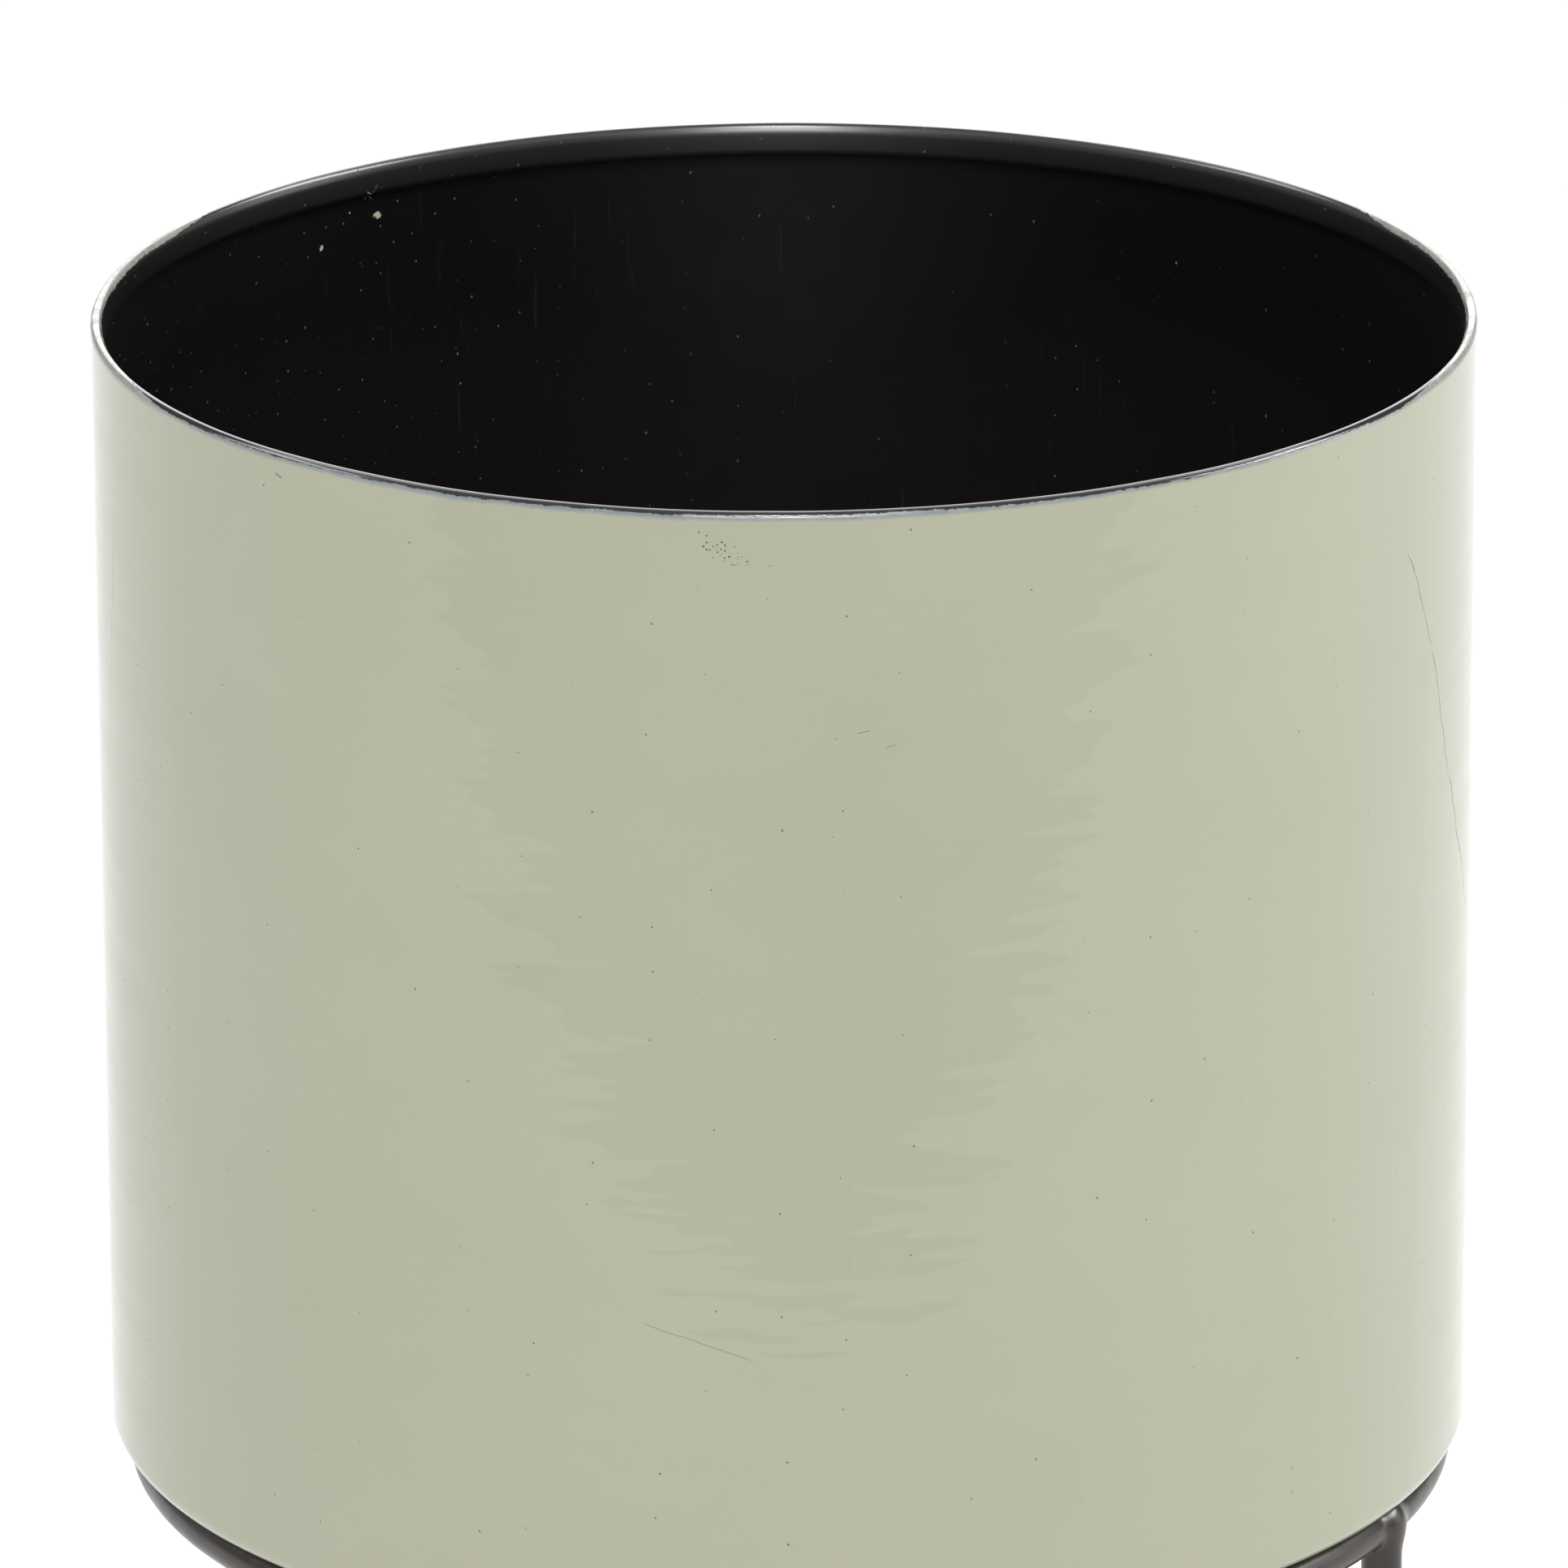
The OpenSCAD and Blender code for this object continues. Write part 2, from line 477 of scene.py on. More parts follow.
def surface_net(name, field, low, high, step):
    """Closed mesh where field, a function of an N x 3 array, changes sign inside a box."""
    counts = [int(math.ceil((b - a) / step)) + 1 for a, b in zip(low, high)]
    axes = [low[k] + step * np.arange(counts[k]) for k in range(3)]
    grid = np.stack(np.meshgrid(*axes, indexing="ij"), -1)
    value = field(grid.reshape(-1, 3)).reshape(counts)
    total = np.zeros([n - 1 for n in counts] + [3])
    hits = np.zeros([n - 1 for n in counts])
    corners = [(i, j, k) for i in (0, 1) for j in (0, 1) for k in (0, 1)]
    cell = tuple(n - 1 for n in counts)

    def at(array, offset):
        i, j, k = offset
        return array[i: i + cell[0], j: j + cell[1], k: k + cell[2]]

    for a in corners:
        for axis in range(3):
            if a[axis]:
                continue
            b = tuple(c + (k == axis) for k, c in enumerate(a))
            va, vb = at(value, a), at(value, b)
            cross = (va < 0) != (vb < 0)
            t = np.where(cross, va / np.where(cross, va - vb, 1.0), 0.0)
            point = np.array(a, float) + t[..., None] * (np.array(b) - np.array(a))
            total += np.where(cross[..., None], point, 0.0)
            hits += cross
    used = hits > 0
    index = np.full(cell, -1)
    index[used] = np.arange(int(used.sum()))
    base = np.stack(np.meshgrid(*[np.arange(n) for n in cell], indexing="ij"), -1)
    vertices = (base[used] + total[used] / hits[used][:, None]) * step + np.array(low)
    faces = []
    for axis in range(3):
        u, v = (axis + 1) % 3, (axis + 2) % 3
        for here in np.argwhere(np.diff((value < 0).astype(int), axis=axis)):
            if here[u] < 1 or here[v] < 1 or here[u] >= cell[u] or here[v] >= cell[v]:
                continue
            quad = []
            for du, dv in ((0, 0), (1, 0), (1, 1), (0, 1)):
                c = here.copy()
                c[u] -= du
                c[v] -= dv
                quad.append(int(index[tuple(c)]))
            inside = value[tuple(here)] < 0
            faces.append(quad if inside else quad[::-1])
    nudges = np.eye(3) * step * 0.25
    for _ in range(SURFACE_PULLS):
        rises = [field(vertices + e) - field(vertices - e) for e in nudges]
        slope = np.stack(rises, -1) / (step * 0.5)
        size = np.maximum((slope ** 2).sum(-1), TINY)
        vertices = vertices - (field(vertices) / size)[:, None] * slope
    return new_mesh(name, vertices, faces)


def make_joint(name):
    """Welded joint of a leg and the ring, blended smoothly and ground flush under the pot."""
    axis, outward, sideways = leg_frame("leg_" + name[-1])
    to_centre = (axis - Vector((RING_X, 0, RING_Z))).length
    spots = np.random.default_rng(int(name[-1])).uniform(-1, 1, (LUMPS, 3))
    spots *= np.array([1.0, 6.0, 5.0]) * MM
    spots[:, 2] -= 3 * MM

    def field(p):
        """Distance to the surface. X points outwards from the leg's axis and Y along the ring."""
        ring = np.hypot(np.hypot(p[:, 0] + to_centre, p[:, 1]) - RING_R, p[:, 2]) - ROD_R
        leg = np.sqrt(p[:, 0] ** 2 + p[:, 1] ** 2 + np.maximum(p[:, 2], 0) ** 2) - ROD_R
        side = 1 / (1 + np.exp(-p[:, 1] / (1.2 * MM)))
        fill = FILLET_FLAT + (FILLET_FULL - FILLET_FLAT) * side
        near = np.maximum(fill - np.abs(ring - leg), 0) / fill
        both = np.minimum(ring, leg) - near ** 2 * fill / 4
        lump = sum(np.exp(-((p - s) ** 2).sum(-1) / LUMP_R ** 2) for s in spots)
        both = both - LUMP_RISE * lump
        away = np.maximum(np.abs(p[:, 1]) - 8 * MM, 0) + np.maximum(-p[:, 2] - 10 * MM, 0)
        both = both + 0.05 * away
        trim = np.maximum(np.abs(p[:, 1]) - JOINT_SIDE, -p[:, 2] - JOINT_DOWN)
        flush = p[:, 2] - (ROD_R - 0.02 * MM)
        return np.maximum(np.maximum(both, trim), flush)

    low = (-9 * MM, -12 * MM, -14.5 * MM)
    high = (8 * MM, 12 * MM, 6 * MM)
    joint = surface_net(name + "_bead", field, low, high, BEAD_CELL)
    turn = Matrix((
        (outward.x, sideways.x, 0, axis.x),
        (outward.y, sideways.y, 0, axis.y),
        (0, 0, 1, axis.z),
        (0, 0, 0, 1),
    ))
    joint.data.transform(turn)
    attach(joint, "stand")
    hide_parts(name)
    return joint


def make_seam():
    """The ring's own butt weld: a low uneven bead, ground flush on top."""
    centre = middle("ring_seam_weld")
    start = math.atan2(centre.y, centre.x - RING_X)
    reach = SEAM_REACH / RING_R
    vertices, faces = [], []
    for k in range(SEAM_STEPS + 1):
        t = 2 * k / SEAM_STEPS - 1
        a = start + reach * t
        swell = SEAM_SWELL * max(0.0, 1 - t * t) ** 0.7 - 0.05 * MM * abs(t)
        for s in range(SEAM_SIDES):
            b = math.tau * s / SEAM_SIDES
            lump = SEAM_LUMP * noise.noise(Vector((math.cos(b) * 3, math.sin(b) * 3, t * 4)))
            radius = ROD_R + swell + lump * (1 - abs(t))
            r = RING_R + radius * math.cos(b)
            z = min(RING_Z + radius * math.sin(b), RING_Z + ROD_R + 0.03 * MM)
            vertices.append((RING_X + r * math.cos(a), r * math.sin(a), z))
    for k in range(SEAM_STEPS):
        here, there = k * SEAM_SIDES, (k + 1) * SEAM_SIDES
        for s in range(SEAM_SIDES):
            t = (s + 1) % SEAM_SIDES
            faces.append((here + s, there + s, there + t, here + t))
    faces.append(tuple(range(SEAM_SIDES)))
    faces.append(tuple(range(SEAM_STEPS * SEAM_SIDES, (SEAM_STEPS + 1) * SEAM_SIDES))[::-1])
    seam = new_mesh("ring_seam_bead", vertices, faces)
    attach(seam, "stand")
    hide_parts("ring_seam_weld")
    return seam


def make_cap(name):
    """Moulded cap: a soft-edged cup with a fine ring near its mouth and a domed sole edge."""
    low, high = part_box(name)
    centre = (low + high) / 2
    radius, height = (high.x - low.x) / 2, high.z - low.z
    bore = ROD_R + CAP_GAP
    outline = [(0, 0), (radius * 0.4, 0), (radius - CAP_EDGE * 1.6, 0)]
    outline += arc(radius - CAP_EDGE, CAP_EDGE, CAP_EDGE, -math.pi / 2, 0, 8)
    lip = height - CAP_LIP
    groove = radius - 0.25 * MM
    outline += [(radius, lip - 0.5 * MM), (groove, lip), (groove, lip + 0.25 * MM)]
    outline += [(radius, lip + 0.7 * MM)]
    outline += arc(radius - CAP_EDGE, height - CAP_EDGE, CAP_EDGE, 0, math.pi / 2, 8)
    outline += [(bore + 0.25 * MM, height), (bore, height - 0.3 * MM), (bore, height * 0.6)]
    outline += [(bore, CAP_SOLE), (bore * 0.5, CAP_SOLE), (0, CAP_SOLE)]
    profile = [(r, low.z + z) for r, z in outline]
    cap = lathe(name + "_cup", profile, CAP_SIDES, (centre.x, centre.y))
    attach(cap, "stand")
    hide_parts(name)
    return cap


# ---------------------------------------------------------------- materials

OUTER_GREEN = (0.455, 0.465, 0.345, 1)
OUTER_GREEN_DEEP = (0.437, 0.449, 0.328, 1)
PALE_GREEN = (0.40, 0.415, 0.33, 1)
SPECK_BROWN = (0.10, 0.09, 0.06, 1)
INNER_BLACK = (0.0052, 0.0047, 0.0048, 1)
# Colours of the painted sheen on the inner face of the folded rim.
HEM_SHEEN_DARK = (0.027, 0.0262, 0.0258, 1)
HEM_SHEEN_GREY = (0.064, 0.0625, 0.0635, 1)
# The rubbed ground coat's colours, paled and tinted partly as painted reflection of the studio.
GROUND_BEIGE_AND_SHEEN = (0.37, 0.37, 0.32, 1)
GROUND_BLUE_AND_REFLECTION = (0.285, 0.322, 0.330, 1)
GROUND_DARK = (0.20, 0.22, 0.24, 1)
CREAM = (0.62, 0.55, 0.42, 1)
# Dust colour, also used for painted light at the back of the inside.
DUST_AND_SHEEN = (0.30, 0.28, 0.24, 1)
SCRATCH_GREY = (0.5, 0.52, 0.52, 1)
ENAMEL_IOR = 1.56

ROD_BROWN = (0.0260, 0.0190, 0.0130, 1)
ROD_RUBBED = (0.082, 0.060, 0.042, 1)
# Painted shade low down the legs.
ROD_SHADE_BLACK = (0.0060, 0.0052, 0.0046, 1)
ROD_CHIP = (0.16, 0.15, 0.14, 1)
PAINT_IOR = 1.5

RUBBER_BLACK = (0.012, 0.012, 0.012, 1)
RUBBER_SCUFF = (0.045, 0.044, 0.042, 1)
RUBBER_ROUGHNESS = 0.62

# Each mark is (start, end, half width, wander). Its ends are in degrees from the front towards
# the right and metres below the rim, and its half width and wander are in millimetres.
DARK_MARKS = [
    ((5.7, 0.0433), (6.7, 0.0428), 0.12, 0.6),
    ((7.9, 0.0463), (8.8, 0.0457), 0.10, 0.4),
    ((-45.3, 0.0040), (-44.5, 0.0047), 0.30, 0.6),
    ((-12.0, 0.1610), (-2.6, 0.1680), 0.10, 1.2),
]
HAIRLINES = [
    ((61.8, 0.0303), (67.2, 0.0535), 0.19, 4.5),
    ((67.0, 0.0530), (72.0, 0.0833), 0.23, 4.5),
    ((71.8, 0.0825), (80.0, 0.1162), 0.34, 4.5),
    ((-73.1, 0.0272), (-75.1, 0.0581), 0.14, 2.0),
    ((-75.0, 0.0570), (-77.5, 0.0900), 0.12, 2.0),
]
PALE_LINES = [
    ((1.1, 0.064), (1.6, 0.159), 0.30, 2.0),
    ((4.6, 0.064), (5.0, 0.162), 0.40, 2.0),
]
SCRATCHES = [
    ((-141.9, 0.0040), (-140.7, 0.0075), 0.10, 1.2),
    ((-140.6, 0.0050), (-141.6, 0.0078), 0.10, 1.0),
]
# Chips inside the pot, and the hole in one: (place, half width, half height), in millimetres.
CREAM_CHIPS = [
    ((-142.1, 0.0112), 1.0, 0.75),
    ((-135.8, 0.0153), 0.5, 0.6),
    ((-139.1, 0.0094), 0.16, 0.22),
]
CHIP_HOLES = [((-141.8, 0.0117), 0.5, 0.42)]
SPECK_CLUSTER = (-4.7, 0.0075)  # degrees from the front, and metres below the rim


def wall_arc(degrees):
    """Length along the outside wall of an angle from the front, in metres."""
    return POT_R * math.radians(degrees)


def wall_place(turn, below_rim):
    """Arc length and height of a place that is given in degrees and metres below the rim."""
    return wall_arc(turn), POT_TOP - below_rim


def stroke(g, along, z, wobble, mark):
    """Mask of one thin mark that wanders a little."""
    start, end, half_width, wander = mark
    (s0, z0), (s1, z1) = wall_place(*start), wall_place(*end)
    length = math.hypot(s1 - s0, z1 - z0)
    ux, uz = (s1 - s0) / length, (z1 - z0) / length
    ds, dz = along - s0, z - z0
    run = ds * ux + dz * uz
    off = abs(ds * uz - dz * ux + wobble * (wander * MM))
    past = abs(run - length / 2)
    inside = g.span(off, half_width * MM * 0.5, half_width * MM, 1.0, 0.0)
    return inside * g.span(past, length * 0.42, length * 0.5, 1.0, 0.0)


def strokes(g, along, z, wobble, marks):
    """Mask of several thin marks."""
    return g.largest([stroke(g, along, z, wobble, mark) for mark in marks])


def blots(g, along, z, wobble, spots):
    """Mask of several ragged spots."""
    masks = []
    for place, half_width, half_height in spots:
        s0, z0 = wall_place(*place)
        across = (along - s0) / (half_width * MM)
        upward = (z - z0) / (half_height * MM)
        off = across * across + upward * upward + wobble * 5.0
        masks.append(g.span(off, 0.8, 1.1, 1.0, 0.0))
    return g.largest(masks)


def paint_edges(g, p, along, run):
    """Shares of the green and of the black. Both have ragged edges, with grey between them."""
    ragged = g.noise(p, 560.0, 4.0, 0.65) - 0.5
    broad = g.noise(p, 75.0, 2.0) - 0.5
    reach = g.span(along, wall_arc(6), wall_arc(26), 0.0, 0.35)
    green_end = run + (ragged * 0.5 + broad * 0.9) - reach
    black_start = run - g.attribute("black_edge") + (ragged * 1.1 + broad * 0.6)
    return g.span(green_end, -0.55, 0.20, 1.0, 0.0), g.span(black_start, -0.04, 0.10)


def speck_cluster(g, along, z):
    """Mask of a slanting crowd of fine grit."""
    s0, z0 = wall_place(*SPECK_CLUSTER)
    slant = z - z0 + (along - s0) * 0.45
    off = ((along - s0) / (4.5 * MM)) ** 2.0 + (slant / (1.9 * MM)) ** 2.0
    grit, tint = g.cells(g.vector(along, z, 0.0), 1450.0)
    level, rare, _ = g.axes(tint)
    near = g.span(off, 0.0, 2.0, 0.80, 0.0)
    return (rare < near) * (grit < g.span(level, 0.2, 1.0, 0.10, 0.32))


def outer_colour(g, along, z):
    """Cloudy green glaze with pin specks and thin marks, and the mask of its specks."""
    cloud = g.noise(g.vector(along * 0.7, 0.0, z), 22.0, 3.0, 0.55)
    green = g.mix(g.span(cloud, 0.3, 0.7), OUTER_GREEN_DEEP, OUTER_GREEN)
    distance, tint = g.cells(g.vector(along, z, 0.0), 82.0)
    speck = (distance < g.span(g.axes(tint)[0], 0.45, 1.0, 0.0, 0.020)) * 0.8
    wobble = g.noise(g.vector(along, 0.0, z), 90.0, 4.0, 0.6) - 0.5
    dark = strokes(g, along, z, wobble, DARK_MARKS)
    hair = strokes(g, along, z, wobble, HAIRLINES)
    pale = strokes(g, along, z, wobble, PALE_LINES)
    green = g.mix(pale * 0.25, green, PALE_GREEN)
    spots = g.largest([speck, speck_cluster(g, along, z), dark * 0.6, hair * 0.75])
    return g.mix(spots, green, SPECK_BROWN), spots


def ground_and_reflection_colour(g, p, along, run):
    """Grey ground coat rubbed along the rim, tinted with painted reflection: bluish in front,
    beige behind.
    """
    brushed = g.noise(g.vector(along * 0.25, 0.0, run * (0.8 * MM)), 1700.0, 3.0, 0.6)
    front = g.span(abs(along), wall_arc(50), wall_arc(68), 1.0, 0.0)
    front = front * g.span(g.noise(p, 9.0, 2.0), 0.3, 0.5, 0.6, 1.0)
    grey = g.mix(front, GROUND_BEIGE_AND_SHEEN, GROUND_BLUE_AND_REFLECTION)
    return g.mix(g.span(brushed, 0.35, 0.7, 0.0, 0.35), grey, GROUND_DARK)


def hem_sheen_colour(g, around, run):
    """Inside black; painted sheen leaves the folded rim paler at the sides, greyer at the back."""
    at_side = g.span(around, wall_arc(92), wall_arc(130), 0.12, 1.0)
    at_back = g.span(around, wall_arc(163), wall_arc(179))
    # The fold's inner face gets painted sheen, strongest near its top.
    hem = g.span(run, 2.2, 3.2) * g.span(run, 7.6, 8.2, 1.0, 0.0)
    hem = hem * g.span(run, 3.2, 7.6, at_side, at_side * 0.42)
    return g.mix(hem, INNER_BLACK, g.mix(at_back, HEM_SHEEN_DARK, HEM_SHEEN_GREY))


def dust_and_back_sheen(g, p, along, z):
    """Mask of single motes, crowded at the left, a film low down, and painted light at the back.
    """
    dust, tint = g.cells(g.vector(along, z * 0.7, 0.0), 210.0)
    rare, level, size = g.axes(tint)
    crowd = g.span(abs(along + wall_arc(123)), 0.05, 0.11, 0.42, 0.90)
    crowd = crowd + (g.noise(p, 30.0, 2.0) - 0.5) * 0.6
    mote = (dust < g.span(size, 0.0, 1.0, 0.014, 0.044)) * (rare > crowd)
    mote = mote * g.span(level, 0.0, 1.0, 0.15, 0.75)
    deep = g.span(z, POT_TOP - 90 * MM, POT_TOP - 25 * MM, 0.034, 0.0)
    # Painted light: the back of the inside is paler where the front lamp falls on it.
    back_sheen = g.span(abs(along), wall_arc(150), wall_arc(178), 0.0, 0.018)
    return g.largest([mote, deep, back_sheen])


def inner_colour(g, p, along, z, run):
    """Black enamel with drips, dust, chips, scratches and painted sheen, and the mask of its
    chips.
    """
    streak = g.noise(g.vector(along * 9.0, 0.0, z * 0.6), 60.0, 3.0, 0.7)
    drips = g.span(streak, 0.62, 0.76) * g.span(g.noise(p, 14.0, 2.0), 0.46, 0.62)
    black = g.mix(drips * 0.08, hem_sheen_colour(g, abs(along), run), DUST_AND_SHEEN)
    black = g.mix(dust_and_back_sheen(g, p, along, z), black, DUST_AND_SHEEN)
    wobble = g.noise(g.vector(along, 0.0, z), 1100.0, 3.0, 0.6) - 0.5
    holes = blots(g, along, z, wobble, CHIP_HOLES)
    chips = (blots(g, along, z, wobble, CREAM_CHIPS) - holes * 0.8).clamped()
    broken = g.span(g.noise(p, 900.0, 2.0), 0.42, 0.55)
    scratches = strokes(g, along, z, wobble, SCRATCHES) * (broken * 0.7)
    black = g.mix(scratches, black, SCRATCH_GREY)
    return g.mix(chips, black, CREAM), chips


def enamel_material():
    """Glossy vitreous enamel: pale green outside, black inside, and grey along the rim."""
    material, g = new_material("enamel")
    p = g.position()
    x, y, z = g.axes(p)
    along = g.math("ARCTAN2", x, y * -1.0) * POT_R
    run = g.attribute("run")
    green_share, black_share = paint_edges(g, p, along, run)
    green, spots = outer_colour(g, along, z)
    black, chips = inner_colour(g, p, along, z, run)
    colour = g.mix(green_share, ground_and_reflection_colour(g, p, along, run), green)
    colour = g.mix(black_share, colour, black)

    # Flow marks in the glaze are wider than they are tall, with fine orange peel over them.
    flow = g.noise(g.vector(along, 0.0, z * 4.2), 20.0, 2.0, 0.42) - 0.5
    normal = g.bump(flow * g.span(run, -RUN_LIMIT, -1.0, 1.0, 0.3), 0.42 * MM)
    normal = g.bump(g.noise(p, 420.0, 1.0), 0.005 * MM, normal)
    normal = g.bump(black_share, 0.05 * MM, normal)

    # The ground coat is duller than the glaze, and the foot of the wall is dull too.
    satin = g.span(run, 1.8, 3.2, 0.11, 0.25)
    inner_rough = satin + g.span(g.noise(p, 60.0, 2.0), 0.3, 0.7, 0.0, 0.012)
    dull = g.span(g.noise(p, 160.0, 3.0, 0.6), 0.40, 0.56, 0.36, 0.10)
    foot = g.span(z, POT_BASE + 0.5 * MM, POT_BASE + 3.0 * MM, 0.34, 0.0)
    outer_rough = (1.0 - green_share) * dull + 0.015 + foot
    rough = g.mix(black_share, outer_rough, inner_rough)
    rough = (rough + g.largest([spots, chips]) * 0.3).clamped()
    g.principled(Base_Color=colour, Roughness=rough, Normal=normal, IOR=ENAMEL_IOR)
    return material


def stand_material():
    """Black stoving enamel on steel rod: half gloss, faint orange peel, rubbed paler in places."""
    material, g = new_material("stand_paint")
    p = g.position()
    rub = g.span(g.noise(p, 70.0, 4.0, 0.65), 0.56, 0.72)
    colour = g.mix(rub * 0.5, ROD_BROWN, ROD_RUBBED)
    # Painted shade: the legs turn blacker further below the ring.
    shade_free_share = g.span(g.axes(p)[2], RING_Z - 16 * MM, RING_Z - 4 * MM, 0.3, 1.0)
    colour = g.mix(shade_free_share, ROD_SHADE_BLACK, colour)
    chip, tint = g.cells(p, 160.0, "3D")
    chips = chip < g.span(g.axes(tint)[0], 0.86, 1.0, 0.0, 0.09)
    colour = g.mix(chips * 0.4, colour, ROD_CHIP)
    rough = g.span(g.noise(p, 140.0, 3.0), 0.3, 0.7, 0.24, 0.36)
    normal = g.bump(g.noise(p, 260.0, 2.0), 0.05 * MM)
    normal = g.bump(g.noise(p, 900.0, 2.0), 0.006 * MM, normal)
    g.principled(Base_Color=colour, Roughness=rough, Normal=normal, IOR=PAINT_IOR)
    return material


def rubber_material():
    """Matt black moulded rubber with a little grey scuffing."""
    material, g = new_material("foot_rubber")
    p = g.position()
    scuff = g.span(g.noise(p, 300.0, 4.0, 0.7), 0.55, 0.75)
    colour = g.mix(scuff * 0.5, RUBBER_BLACK, RUBBER_SCUFF)
    normal = g.bump(g.noise(p, 2200.0, 2.0), 0.02 * MM)
    g.principled(Base_Color=colour, Roughness=RUBBER_ROUGHNESS, Normal=normal)
    return material


# ---------------------------------------------------------------- stage and light

WHITE = (1, 1, 1, 1)
WORLD_FILL = 0.8  # strength of the white world for rays that aren't seen directly
FLOOR_WHITE = (0.8, 0.8, 0.8, 1)
FLOOR_HALF = 24.0  # half the floor's width
FLOOR_LIFT = 0.35  # glow that makes the floor look white
FLOOR_GLARE = 0.15  # more of it in mirror rays

# The dim room in front of the pot, which only reflections show.
ROOM_DIM = 0.88
ROOM_NEAR, ROOM_FAR, ROOM_HALF = -0.79, -9.0, 9.0
ROOM_LIFT = 2 * MM

# Upright curved strips round the scene, which only reflections show: (name, radius, degrees
# round from the front, degrees above the rim as seen from its middle, strength).
STRIPS = [
    ("studio_glow_front", 9.5, (-10, 10), (40, 56), 27.0),
    ("studio_glow_below", 9.5, (-10, 10), (18, 40), 10.0),
    ("studio_glow_low", 9.5, (-10, 10), (7, 18), 4.0),
    ("studio_glow_left", 9.5, (-118, -84), (30, 44), 8.0),
    ("studio_glow_right", 9.5, (80, 118), (30, 44), 15.0),
    ("studio_flag_left", 9.6, (-118, -12), (0, 27), 0.35),
    ("studio_flag_right", 9.6, (12, 118), (0, 27), 0.35),
    ("studio_shade_left", 9.8, (-160, -120), (-2, 42), 0.35),
    ("studio_shade_right", 9.8, (120, 160), (-2, 42), 0.35),
    ("studio_backdrop", 10.0, (122, 238), (4, 62), 3.4),
]
STRIP_STEPS = 48

# Soft lamps: (name, place, width, height, watts).
LAMPS = [
    ("front_panel", (0.0, -2.4, 1.3), 1.2, 0.9, 14),
    ("right_panel", (1.8, 0.15, 0.9), 0.9, 1.4, 8),
    ("left_panel", (-1.7, -0.5, 0.9), 0.9, 1.4, 0.5),
]
LAMP_AIM = (0, 0, 0.3)


def seen_directly(g):
    """1 for rays from the camera and for mirror and clear rays, 0 for the rest."""
    path = g.node("ShaderNodeLightPath").outputs
    names = ("Is Camera Ray", "Is Glossy Ray", "Is Transmission Ray")
    return g.largest([Term(g, path[name]) for name in names])


def glowing(name, strength):
    """A material that only glows."""
    material, g = new_material(name, empty=True)
    light = g.term(0, "ShaderNodeEmission", {"Strength": strength})
    g.output("ShaderNodeOutputMaterial", light)
    return material


def level_panel(name, x, near, far, z):
    """Level rectangle from -x to x and from far to near, facing up."""
    corners = [(-x, far, z), (x, far, z), (x, near, z), (-x, near, z)]
    return new_mesh(name, corners, [(0, 1, 2, 3)], smooth=False)


def make_floor():
    """Floor that keeps the object's shadow but looks white, and is clear from below."""
    floor = level_panel("floor", FLOOR_HALF, FLOOR_HALF, -FLOOR_HALF, 0)
    material, g = new_material("floor_white", empty=True)
    mirrored = g.term("Is Glossy Ray", "ShaderNodeLightPath")
    strength = seen_directly(g) * FLOOR_LIFT + mirrored * FLOOR_GLARE
    matt = g.term(0, "ShaderNodeBsdfDiffuse", {"Color": FLOOR_WHITE})
    glow = g.term(0, "ShaderNodeEmission", {"Strength": strength})
    top = g.term(0, "ShaderNodeAddShader", {0: matt, 1: glow})
    below = g.term("Backfacing", "ShaderNodeNewGeometry")
    clear = g.term(0, "ShaderNodeBsdfTransparent")
    surface = g.term(0, "ShaderNodeMixShader", {0: below, 1: top, 2: clear})
    g.output("ShaderNodeOutputMaterial", surface)
    wear(floor, material)


def only_mirrored(obj):
    """Leaves a stage piece visible in reflections alone."""
    obj.visible_camera = False
    obj.visible_diffuse = False
    obj.visible_shadow = False
    obj.visible_transmission = False
    obj.visible_volume_scatter = False


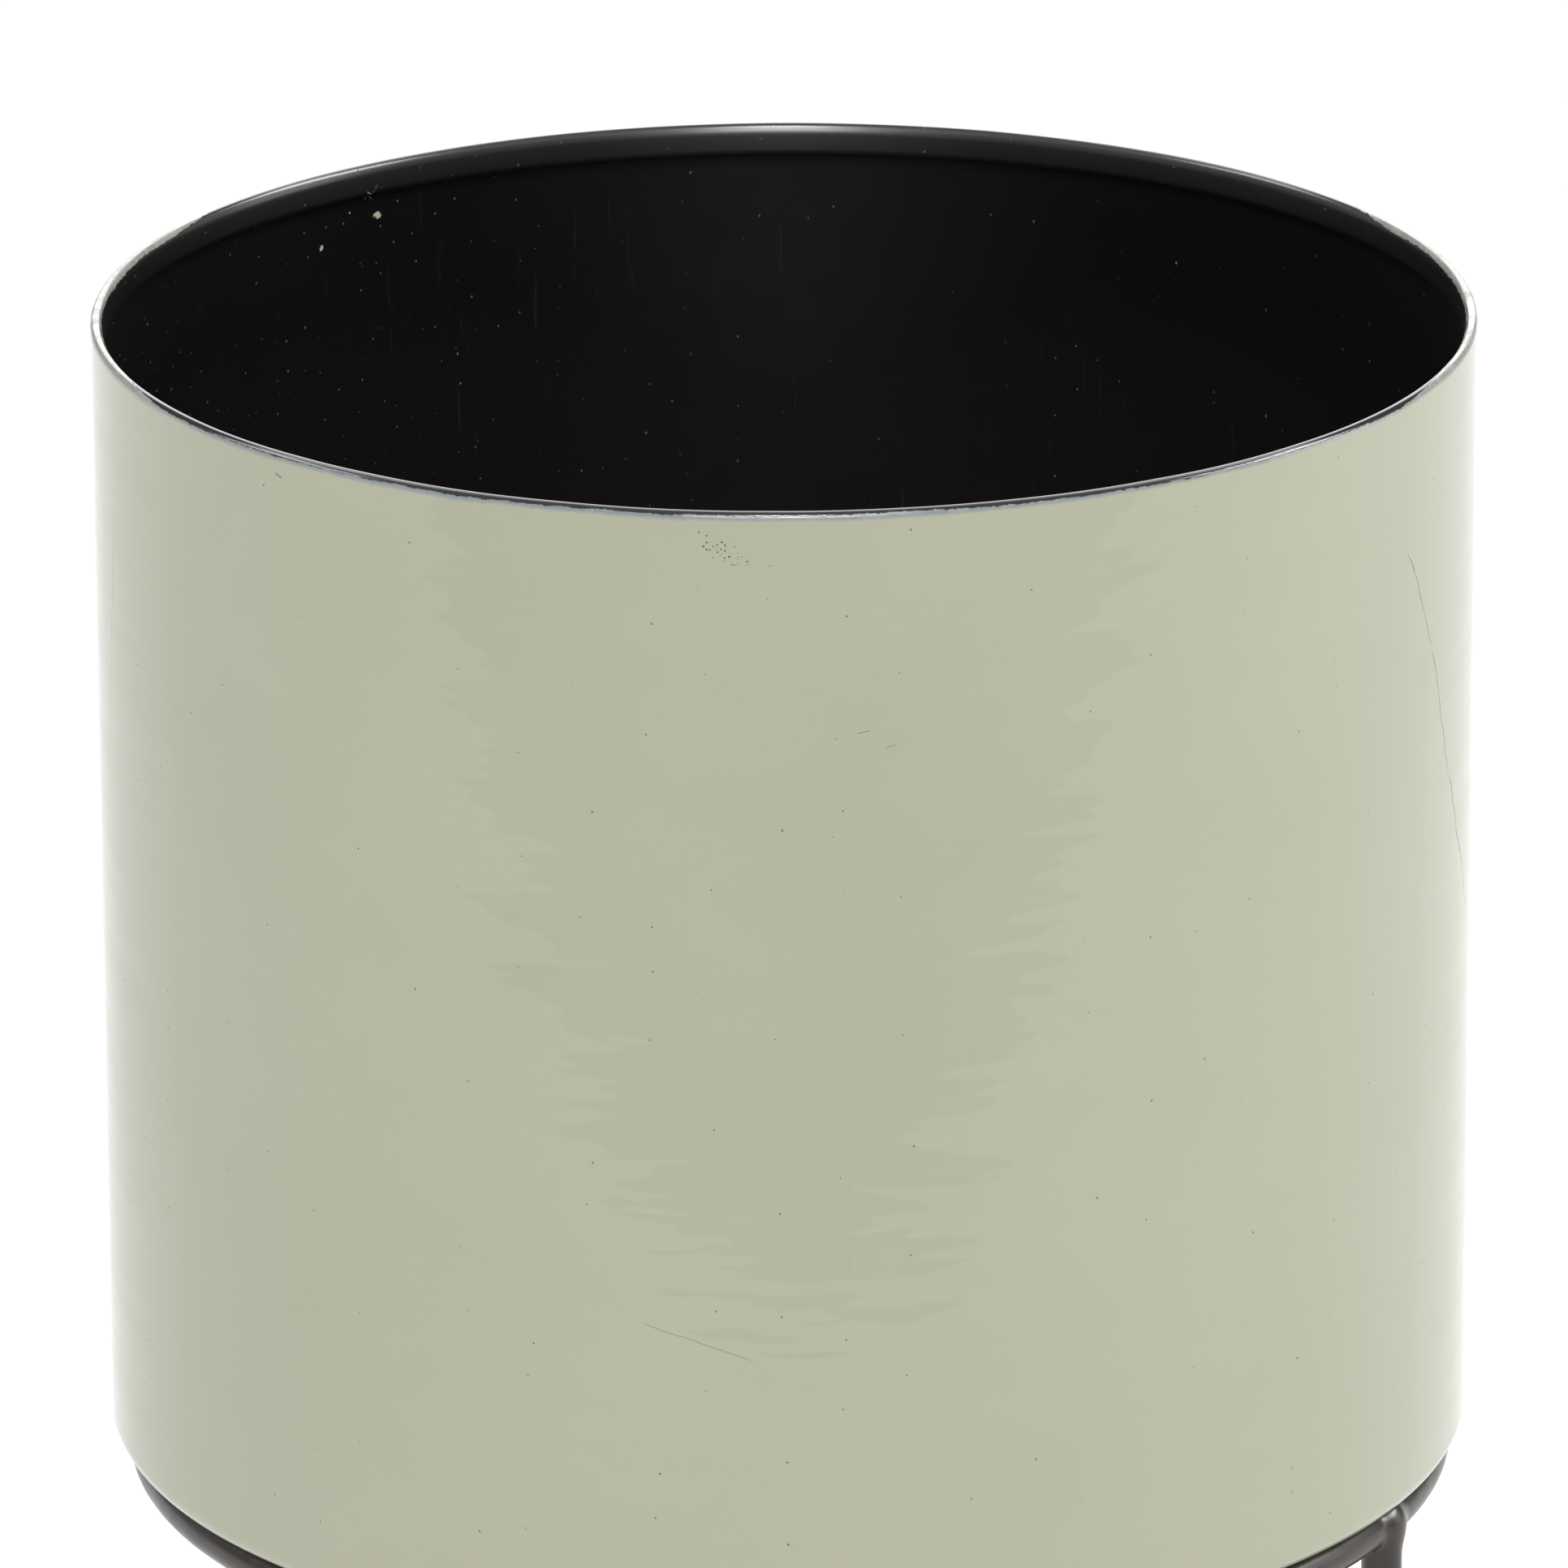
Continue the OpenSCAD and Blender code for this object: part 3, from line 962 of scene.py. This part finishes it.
def strip_mesh(name, radius, start, end, low, high):
    """Upright curved strip, from start to end in degrees from the front."""
    vertices, faces = [], []
    for k in range(STRIP_STEPS + 1):
        a = math.radians(start + (end - start) * k / STRIP_STEPS)
        x, y = radius * math.sin(a), -radius * math.cos(a)
        vertices += [(x, y, low), (x, y, high)]
    for k in range(STRIP_STEPS):
        faces.append((2 * k, 2 * k + 1, 2 * k + 3, 2 * k + 2))
    return new_mesh(name, vertices, faces)


def make_studio():
    """What the glaze mirrors: a dim room, lit bands, dark flags and a bright backdrop."""
    room = level_panel("studio_front", ROOM_HALF, ROOM_NEAR, ROOM_FAR, ROOM_LIFT)
    pieces = [(room, ROOM_DIM)]
    for name, radius, (start, end), rise, strength in STRIPS:
        low, high = (POT_TOP + radius * math.tan(math.radians(angle)) for angle in rise)
        pieces.append((strip_mesh(name, radius, start, end, low, high), strength))
    for piece, strength in pieces:
        wear(piece, glowing(piece.name + "_light", strength))
        only_mirrored(piece)


def make_world():
    """White to rays that see it directly, and a little dimmer as a light."""
    world = bpy.data.worlds.new("studio")
    bpy.context.scene.world = world
    world.use_nodes = True
    world.node_tree.nodes.clear()
    g = Graph(world.node_tree)
    strength = g.span(seen_directly(g), 0.0, 1.0, WORLD_FILL, 1.0)
    light = g.term(0, "ShaderNodeBackground", {"Color": WHITE, "Strength": strength})
    g.output("ShaderNodeOutputWorld", light)


def make_lights():
    """Soft lamps that the camera doesn't see."""
    for name, place, width, height, watts in LAMPS:
        data = bpy.data.lights.new(name, "AREA")
        data.shape = "RECTANGLE"
        data.size, data.size_y = width, height
        data.energy = watts
        lamp = bpy.data.objects.new(name, data)
        lamp.location = place
        lamp.rotation_mode = "QUATERNION"
        lamp.rotation_quaternion = (Vector(LAMP_AIM) - Vector(place)).to_track_quat("-Z", "Y")
        lamp.visible_camera = False
        bpy.context.scene.collection.objects.link(lamp)


# ---------------------------------------------------------------- scene

scene = bpy.context.scene
scene.view_settings.view_transform = "Standard"
make_camera()
enamel, paint, rubber = enamel_material(), stand_material(), rubber_material()
wear(make_pot(), enamel)
wear(make_ring(), paint)
wear(make_seam(), paint)
for number in "123":
    wear(make_leg("leg_" + number), paint)
    wear(make_joint("leg_weld_" + number), paint)
    wear(make_cap("foot_cap_" + number), rubber)
make_floor()
make_studio()
make_world()
make_lights()
